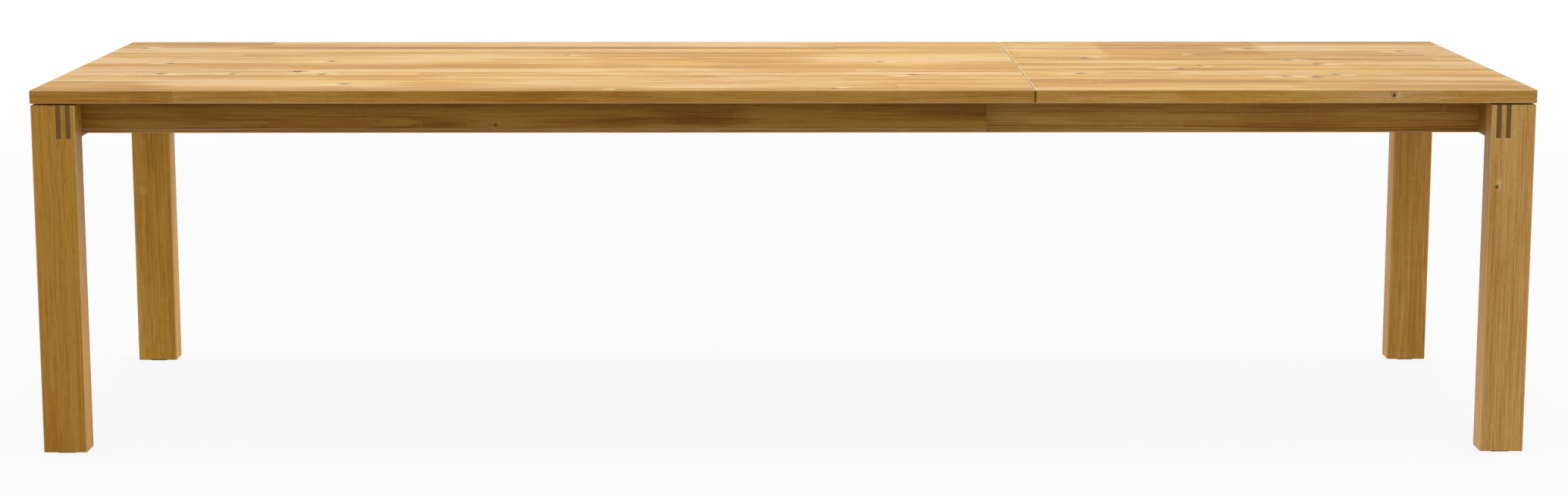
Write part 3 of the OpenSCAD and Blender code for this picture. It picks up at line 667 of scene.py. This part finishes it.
def newGroup(name, inputs):
    tree = bpy.data.node_groups.new(name, "GeometryNodeTree")
    tree.interface.new_socket("Points", in_out="INPUT", socket_type="NodeSocketGeometry")
    for label, value in inputs.items():
        kind = "NodeSocketMaterial" if value is None else "NodeSocketFloat"
        socket = tree.interface.new_socket(label, in_out="INPUT", socket_type=kind)
        if value is not None:
            socket.default_value = value
    tree.interface.new_socket("Mesh", in_out="OUTPUT", socket_type="NodeSocketGeometry")
    return Net(tree)


# Copies a shape to every point, turned so that its Z follows the point's aim
def copyToPoints(net, shape, twist=False):
    aim = net.add("GeometryNodeInputNamedAttribute", {"data_type": "FLOAT_VECTOR"}, {"Name": "aim"})
    turn = net.add("FunctionNodeAlignRotationToVector", {"axis": "Z"}, {"Vector": aim})
    if twist:
        random = net.add("FunctionNodeRandomValue", {"data_type": "FLOAT"},
                         {2: 0.0, 3: math.tau, "Seed": 7}, 1)
        spin = net.add("FunctionNodeAxisAngleToRotation", None,
                       {"Axis": (0.0, 0.0, 1.0), "Angle": random})
        turn = net.add("FunctionNodeRotateRotation", {"rotation_space": "LOCAL"},
                       {"Rotation": turn, "Rotate By": spin})
    copies = net.add("GeometryNodeInstanceOnPoints", None,
                     {"Points": net.input("Points"), "Instance": shape, "Rotation": turn})
    real = net.add("GeometryNodeRealizeInstances", None, {"Geometry": copies})
    done = net.add("GeometryNodeSetMaterial", None,
                   {"Geometry": real, "Material": net.input("Material")})
    net.add("NodeGroupOutput", None, {"Mesh": done})
    return net.tree


def moved(net, shape, x=0.0, y=0.0, z=0.0):
    return net.add("GeometryNodeTransform", None,
                   {"Geometry": shape, "Translation": net.join(x, y, z)})


def joined(net, shapes):
    made = net.add("GeometryNodeJoinGeometry")
    for shape in shapes:
        net.tree.links.new(shape.socket, made.socket.node.inputs[0])
    return made


# Shares of a screw's form: of its shank for tip, core and thread, of its head for the rest
screwForm = {"tip": 1.2, "core": 0.36, "thread": 0.14, "panTop": 0.46, "flatTop": 0.25,
             "recessWidth": 0.16, "recessDepth": 1.2}


# A wood screw with a cross recess, its head's face on the point and its shank along the aim
def screwGroup(name, pan):
    net = newGroup(name, {"Head": 0.008, "Rise": 0.002, "Shank": 0.004, "Length": 0.016,
                          "Recess": 0.6, "Pitch": 0.0016, "Material": None})
    head, rise, shank = net.input("Head"), net.input("Rise"), net.input("Shank")
    length, recess, pitch = net.input("Length"), net.input("Recess"), net.input("Pitch")
    tip = shank * screwForm["tip"]
    topRadius = head * screwForm["panTop" if pan else "flatTop"]
    crown = net.add("GeometryNodeMeshCone", None,
                    {"Vertices": 32, "Side Segments": 3, "Radius Top": topRadius,
                     "Radius Bottom": head * 0.5, "Depth": rise})
    if pan:
        crown = net.add("GeometryNodeTransform", None,
                        {"Geometry": crown, "Rotation": (math.pi, 0.0, 0.0)})
        crown = moved(net, crown, z=rise)
    bars = []
    for long, wide in ((recess, screwForm["recessWidth"]), (screwForm["recessWidth"], recess)):
        size = net.join(head * long, head * wide, rise * screwForm["recessDepth"])
        bars.append(net.add("GeometryNodeMeshCube", None, {"Size": size}))
    crown = net.add("GeometryNodeMeshBoolean", {"operation": "DIFFERENCE", "solver": "EXACT"},
                    {"Mesh 1": crown, "Mesh 2": joined(net, bars)})
    radius = shank * screwForm["core"]
    run = length - rise - tip
    core = net.add("GeometryNodeMeshCylinder", None,
                   {"Vertices": 16, "Radius": radius, "Depth": run})
    core = moved(net, core, z=(length + rise - tip) * 0.5)
    point = net.add("GeometryNodeMeshCone", None,
                    {"Vertices": 16, "Radius Top": 0.0, "Radius Bottom": radius, "Depth": tip})
    point = moved(net, point, z=length - tip)
    helix = net.add("GeometryNodeCurveSpiral", None,
                    {"Resolution": 12, "Rotations": run / pitch, "Start Radius": radius,
                     "End Radius": radius, "Height": run})
    ridge = net.add("GeometryNodeCurvePrimitiveCircle", None,
                    {"Resolution": 3, "Radius": shank * screwForm["thread"]})
    thread = net.add("GeometryNodeCurveToMesh", None,
                     {"Curve": helix, "Profile Curve": ridge, "Fill Caps": True})
    thread = moved(net, thread, z=rise)
    return copyToPoints(net, joined(net, [crown, core, point, thread]), twist=True)


def ballGroup():
    net = newGroup("ballRow", {"Diameter": 0.0045, "Material": None})
    ball = net.add("GeometryNodeMeshIcoSphere", None,
                   {"Radius": net.input("Diameter") * 0.5, "Subdivisions": 3})
    return copyToPoints(net, ball)


padForm = {"cornerSteps": 8, "rimSteps": 3, "weld": 0.00002}


# A felt pad with rounded corners and a softened upper rim, lying on the point
def padGroup():
    net = newGroup("feltPads", {"Length": 0.06, "Width": 0.02, "Thickness": 0.003,
                                "Corner": 0.003, "Rim": 0.0008, "Material": None})
    length, width, corner = net.input("Length"), net.input("Width"), net.input("Corner")
    thick, rim = net.input("Thickness"), net.input("Rim")
    outline = net.add("GeometryNodeCurvePrimitiveQuadrilateral", None,
                      {"Width": length, "Height": width})
    outline = net.add("GeometryNodeFilletCurve", {"mode": "POLY"},
                      {"Curve": outline, "Radius": corner, "Count": padForm["cornerSteps"],
                       "Limit Radius": True})
    sheet = net.add("GeometryNodeFillCurve", {"mode": "NGONS"}, {"Curve": outline})
    under = net.add("GeometryNodeFlipFaces", None, {"Mesh": sheet})

    def raised(pad, chosen, climb):
        pad = net.add("GeometryNodeExtrudeMesh", {"mode": "FACES"},
                      {"Mesh": pad, "Selection": chosen, "Offset Scale": climb, "Individual": False})
        return pad, Wire(net, pad.socket.node.outputs["Top"])

    pad, top = raised(sheet, True, thick - rim)
    for step in range(padForm["rimSteps"]):
        # each ring of the rim climbs less and draws in more
        start, end = (0.5 * math.pi * part / padForm["rimSteps"] for part in (step, step + 1))
        pad, top = raised(pad, top, rim * (math.sin(end) - math.sin(start)))
        inset = rim * (2.0 * (math.cos(start) - math.cos(end)))
        pad = net.add("GeometryNodeScaleElements", {"domain": "FACE"},
                      {"Geometry": pad, "Selection": top, "Scale": 1.0 - inset / width})
    whole = net.add("GeometryNodeMergeByDistance", None,
                    {"Geometry": joined(net, [pad, under]), "Distance": padForm["weld"]})
    return copyToPoints(net, whole)


# Grows a group on points, as one plain mesh that rides on a body
def grow(name, body, group, points, aims, values, replaced, smoothAngle=30.0):
    mesh = bpy.data.meshes.new(name)
    mesh.from_pydata(points, [], [])
    aim = mesh.attributes.new("aim", "FLOAT_VECTOR", "POINT")
    for index, direction in enumerate(aims):
        aim.data[index].vector = direction
    piece = bpy.data.objects.new(name, mesh)
    bpy.context.scene.collection.objects.link(piece)
    modifier = piece.modifiers.new("grow", "NODES")
    modifier.node_group = group
    for item in group.interface.items_tree:
        if item.in_out == "INPUT" and item.name in values:
            modifier[item.identifier] = values[item.name]
    depsgraph = bpy.context.evaluated_depsgraph_get()
    grown = bpy.data.meshes.new_from_object(piece.evaluated_get(depsgraph), depsgraph=depsgraph)
    piece.modifiers.clear()
    piece.data = grown
    grown.name = name
    grown.shade_smooth()
    grown.set_sharp_from_angle(angle=math.radians(smoothAngle))
    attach(piece, body)
    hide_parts(*replaced)


# Screws: the head's width and height, whether it is a pan, and the axis that they point along.
# Screws along Y point away from the middle or towards it.
screwRows = {
    "bearerScrews": {"body": "fixed_frame", "node": "top_screws", "pan": True,
                     "head": 0.009, "rise": 0.003, "axis": 2},
    "mainBattenScrews": {"body": "fixed_frame", "node": "main_batten_screws", "pan": False,
                         "head": 0.008, "rise": 0.002, "axis": 2},
    "trackScrews": {"body": "fixed_frame", "node": "track_screws", "pan": False,
                    "head": 0.008, "rise": 0.002, "axis": 1, "outward": True},
    "runnerScrews": {"body": "moving_frame", "node": "runner_screws", "pan": False,
                     "head": 0.008, "rise": 0.002, "axis": 1, "outward": False},
    "leafBattenScrews": {"body": "leaf", "node": "leaf_batten_screws", "pan": False,
                         "head": 0.008, "rise": 0.002, "axis": 2},
}


def growScrews():
    groups = {True: screwGroup("panScrew", True), False: screwGroup("countersunkScrew", False)}
    for name, row in screwRows.items():
        axis = row["axis"]
        points, aims, length = [], [], 0.0
        for low, high in solidBoxes(row["node"]):
            middle = (low + high) / 2
            forward = 1.0 if axis == 2 or (middle.y > 0) == row["outward"] else -1.0
            middle[axis] = low[axis] if forward > 0 else high[axis]
            points.append(middle)
            aims.append([forward if part == axis else 0.0 for part in range(3)])
            length = high[axis] - low[axis]
        grow(name, row["body"], groups[row["pan"]], points, aims,
             {"Head": row["head"], "Rise": row["rise"], "Length": length,
              "Material": finishes["zinc"]}, [row["node"]])


def growBalls():
    boxes = solidBoxes("guide_balls_front") + solidBoxes("guide_balls_back")
    points = [(low + high) / 2 for low, high in boxes]
    size = boxes[0][1].z - boxes[0][0].z
    grow("guideBalls", "ball_cages", ballGroup(), points, [(0, 0, 1)] * len(points),
         {"Diameter": size, "Material": finishes["ball"]},
         ["guide_balls_front", "guide_balls_back"], smoothAngle=180.0)


# Felt pads lie on their place and are as thick as the CAD ones. Glides hang below the feet.
padRows = {
    "packingPads": {"body": "fixed_frame", "node": "packing_pads"},
    "leafPads": {"body": "moving_frame", "node": "leaf_pads"},
    "leftGlides": {"body": "fixed_frame", "node": "foot_glides_left", "thick": 0.003},
    "rightGlides": {"body": "moving_frame", "node": "foot_glides_right", "thick": 0.003},
}
padCorner = {"square": 0.003, "roundGap": 0.0001}


# pads of one size share a piece; a round pad is a square one with full corners
def growPads():
    group = padGroup()
    for label, row in padRows.items():
        drop = row.get("thick", 0.0)
        aim = (0, 0, -1) if drop else (0, 0, 1)
        kinds = {}
        for low, high in solidBoxes(row["node"]):
            size = tuple(round(part, 4) for part in high - low)
            point = Vector(((low.x + high.x) / 2, (low.y + high.y) / 2, low.z + drop))
            kinds.setdefault(size, []).append(point)
        for index, (size, points) in enumerate(sorted(kinds.items())):
            isRound = size[0] == size[1]
            corner = size[0] / 2 - padCorner["roundGap"] if isRound else padCorner["square"]
            grow(label + str(index), row["body"], group, points, [aim] * len(points),
                 {"Length": size[0], "Width": size[1], "Thickness": drop or size[2],
                  "Corner": corner, "Material": finishes["felt"]},
                 [] if index else [row["node"]])


growScrews()
growBalls()
growPads()
print("stage: screws, balls and pads grown")


# A white studio. The floor is white for the camera, keeps a soft shadow and bounces little light.
studio = {
    "floorSize": 160.0,
    "floorDrop": 0.0005,
    "floorBounce": 0.28,
    "floorWhite": 0.92,
    "shadowShare": 0.12,
    "shadowStart": 3.0,
    "shadowEnd": 7.0,
    "worldLow": 1.27,
    "worldHigh": 0.45,
    "worldStart": 0.1,
    "worldEnd": 0.60,
}


def seenRays(net):
    rays = [net.add("ShaderNodeLightPath", out=name)
            for name in ("Is Camera Ray", "Is Glossy Ray", "Is Transmission Ray")]
    return net.maths("MINIMUM", rays[0] + rays[1] + rays[2], 1.0)


def buildFloor():
    material, net = newMaterial("floorWhite")
    x, y = net.split(net.place())[:2]
    away = (x * x + y * y) ** 0.5
    keep = net.smooth(away, studio["shadowStart"], studio["shadowEnd"], studio["shadowShare"], 0.0)
    lit = net.add("ShaderNodeBsdfDiffuse", None, {"Color": grey(studio["floorWhite"])})
    glow = net.add("ShaderNodeEmission", None, {"Color": grey(1.0), "Strength": 1.0})
    seen = net.add("ShaderNodeMixShader", None, (keep, glow, lit))
    dim = net.add("ShaderNodeBsdfDiffuse", None, {"Color": grey(studio["floorBounce"])})
    mixed = net.add("ShaderNodeMixShader", None, (seenRays(net), dim, seen))
    net.add("ShaderNodeOutputMaterial", None, {"Surface": mixed})
    half = studio["floorSize"] / 2
    mesh = bpy.data.meshes.new("studioFloor")
    mesh.from_pydata([(-half, -half, 0), (half, -half, 0), (half, half, 0), (-half, half, 0)],
                     [], [(0, 1, 2, 3)])
    mesh.materials.append(material)
    floor = bpy.data.objects.new("studioFloor", mesh)
    floor.location.z = cadBox[0][2] - studio["floorDrop"]
    bpy.context.scene.collection.objects.link(floor)


def buildWorld():
    world = bpy.data.worlds.new("studioWorld")
    world.use_nodes = True
    net = Net(world.node_tree)
    direction = net.split(net.add("ShaderNodeTexCoord", out="Generated"))
    light = net.smooth(direction[2], studio["worldStart"], studio["worldEnd"],
                       studio["worldLow"], studio["worldHigh"])
    seen = seenRays(net)
    sky = net.add("ShaderNodeBackground", None,
                  {"Color": grey(1.0), "Strength": light * (1.0 - seen) + seen})
    net.add("ShaderNodeOutputWorld", None, {"Surface": sky})
    bpy.context.scene.world = world


lamps = {
    "above": {"place": (0.0, 0.0, 3.6), "aim": (0.0, 0.0, 0.7), "size": (3.0, 2.0), "power": 50},
    "left": {"place": (-14.0, 2.0, 1.5), "aim": (1.4, 0.3, 0.4), "size": (2.4, 1.6), "power": 400},
    "right": {"place": (14.0, 0.3, 1.5), "aim": (-1.4, 0.0, 0.4), "size": (2.4, 1.6), "power": 700},
}


def buildLamps():
    for name, lamp in lamps.items():
        light = bpy.data.lights.new("lamp" + name.capitalize(), "AREA")
        light.shape = "RECTANGLE"
        light.size, light.size_y = lamp["size"]
        light.energy = lamp["power"]
        made = bpy.data.objects.new(light.name, light)
        made.location = lamp["place"]
        towards = Vector(lamp["aim"]) - Vector(lamp["place"])
        made.rotation_euler = towards.to_track_quat("-Z", "Y").to_euler()
        made.visible_camera = False
        made.visible_glossy = False
        bpy.context.scene.collection.objects.link(made)


# lens in millimetres, turns in degrees
shot = {
    "lens": 69.84,
    "sensor": 36.0,
    "farthest": 300.0,
    "place": (-0.024, -6.517, 1.417),
    "down": 9.38,
    "right": 0.228,
}


def buildCamera():
    data = bpy.data.cameras.new("shotCamera")
    data.lens = shot["lens"]
    data.sensor_width = shot["sensor"]
    data.clip_end = shot["farthest"]
    made = bpy.data.objects.new("shotCamera", data)
    made.location = shot["place"]
    made.rotation_euler = (math.radians(90.0 - shot["down"]), 0.0, -math.radians(shot["right"]))
    bpy.context.scene.collection.objects.link(made)
    bpy.context.scene.camera = made


buildFloor()
buildWorld()
buildLamps()
buildCamera()
bpy.context.scene.view_settings.view_transform = "Standard"
print("stage: studio built")
